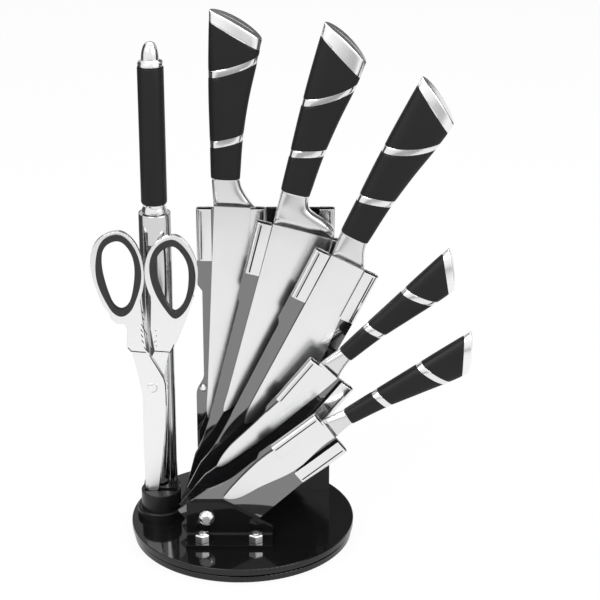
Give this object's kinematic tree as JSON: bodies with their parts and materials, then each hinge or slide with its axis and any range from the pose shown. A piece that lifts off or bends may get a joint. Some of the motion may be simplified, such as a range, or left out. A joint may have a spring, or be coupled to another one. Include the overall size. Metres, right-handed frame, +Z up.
{
  "type": "knife block with knives",
  "caption": "Turntable knife stand: fan of black leaves with steel guides holding knives, plus a sharpening steel in a tube and kitchen scissors",
  "frame": {"origin": "centre of the resting face of the round mat, on the turntable's axis", "axes": "+Z up along the turntable's axis; +X to the right as the fan of knives leans; +Y to the rear, towards the tall rear leaf"},
  "size_m": [0.2793, 0.17, 0.4002],
  "materials": {
    "black_gloss": "glossy black acrylic sheet",
    "black_plastic": "black moulded plastic",
    "mat": "non-slip rubber",
    "plain_steel": "plain machined steel",
    "polished": "polished stainless steel",
    "blade_steel": "fine satin stainless steel",
    "soft_grip": "matte soft-touch grip"
  },
  "bodies": {
    "base": {"rubber_mat": "mat", "base_disc": "black_gloss", "bearing_lower_race": "plain_steel", "bearing_balls": "plain_steel", "pivot_pin": "plain_steel"},
    "turntable": {"turntable_disc": "black_gloss", "leaf_1": "black_gloss", "leaf_2": "black_gloss", "leaf_3": "black_gloss", "leaf_4": "black_gloss", "leaf_5": "black_gloss", "rear_panel": "black_gloss", "front_bracket": "black_gloss", "tube_socket": "black_plastic", "tube_insert": "polished", "hub_spacers": "black_plastic", "bearing_upper_race": "plain_steel", "hub_bolt": "plain_steel", "foot_screws": "plain_steel", "socket_screws": "plain_steel", "panel_nuts": "plain_steel", "hub_dome_nut": "polished", "foot_nuts": "polished", "panel_bolts": "polished", "steel_tube": "polished", "guides_1": "polished", "guides_2": "polished", "guides_3": "polished", "guides_4": "polished", "guides_5": "polished"},
    "knife_1": {"knife_1_blade": "blade_steel", "knife_1_shell": "polished", "knife_1_grip": "soft_grip", "knife_1_cap": "polished"},
    "knife_2": {"knife_2_blade": "blade_steel", "knife_2_shell": "polished", "knife_2_grip": "soft_grip", "knife_2_cap": "polished"},
    "knife_3": {"knife_3_blade": "blade_steel", "knife_3_shell": "polished", "knife_3_grip": "soft_grip", "knife_3_cap": "polished"},
    "knife_4": {"knife_4_blade": "blade_steel", "knife_4_shell": "polished", "knife_4_grip": "soft_grip", "knife_4_cap": "polished"},
    "knife_5": {"knife_5_blade": "blade_steel", "knife_5_shell": "polished", "knife_5_grip": "soft_grip", "knife_5_cap": "polished"},
    "sharpening_steel": {"steel_rod": "blade_steel", "steel_ferrule": "polished", "steel_grip": "soft_grip", "steel_cap": "polished"},
    "scissors": {"scissors_rear_half": "blade_steel", "scissors_rear_liner": "soft_grip", "scissors_pivot": "blade_steel"},
    "scissors_front": {"scissors_front_half": "blade_steel", "scissors_front_liner": "soft_grip"}
  },
  "joints": [
    {"name": "turntable_spin", "type": "hinge", "parent": "base", "child": "turntable", "pos_m": [0, 0, 0.0068], "axis": [0, 0, 1], "continuous": true},
    {"name": "knife_1_draw", "type": "slide", "parent": "turntable", "child": "knife_1", "axis": [0.0489, 0, 0.9988], "range_m": [0, 0.18]},
    {"name": "knife_2_draw", "type": "slide", "parent": "turntable", "child": "knife_2", "axis": [0.2504, 0, 0.9681], "range_m": [0, 0.16]},
    {"name": "knife_3_draw", "type": "slide", "parent": "turntable", "child": "knife_3", "axis": [0.4478, 0, 0.8942], "range_m": [0, 0.155]},
    {"name": "knife_4_draw", "type": "slide", "parent": "turntable", "child": "knife_4", "axis": [0.7071, 0, 0.7071], "range_m": [0, 0.12]},
    {"name": "knife_5_draw", "type": "slide", "parent": "turntable", "child": "knife_5", "axis": [0.829, 0, 0.5592], "range_m": [0, 0.1]},
    {"name": "steel_draw", "type": "slide", "parent": "turntable", "child": "sharpening_steel", "axis": [0, 0, 1], "range_m": [0, 0.2]},
    {"name": "scissors_draw", "type": "slide", "parent": "turntable", "child": "scissors", "axis": [0, 0, 1], "range_m": [0, 0.12]},
    {"name": "scissors_open", "type": "hinge", "parent": "scissors", "child": "scissors_front", "pos_m": [-0.0669, 0.003, 0.1194], "axis": [0, -1, 0], "range_deg": [0, 6]}
  ]
}
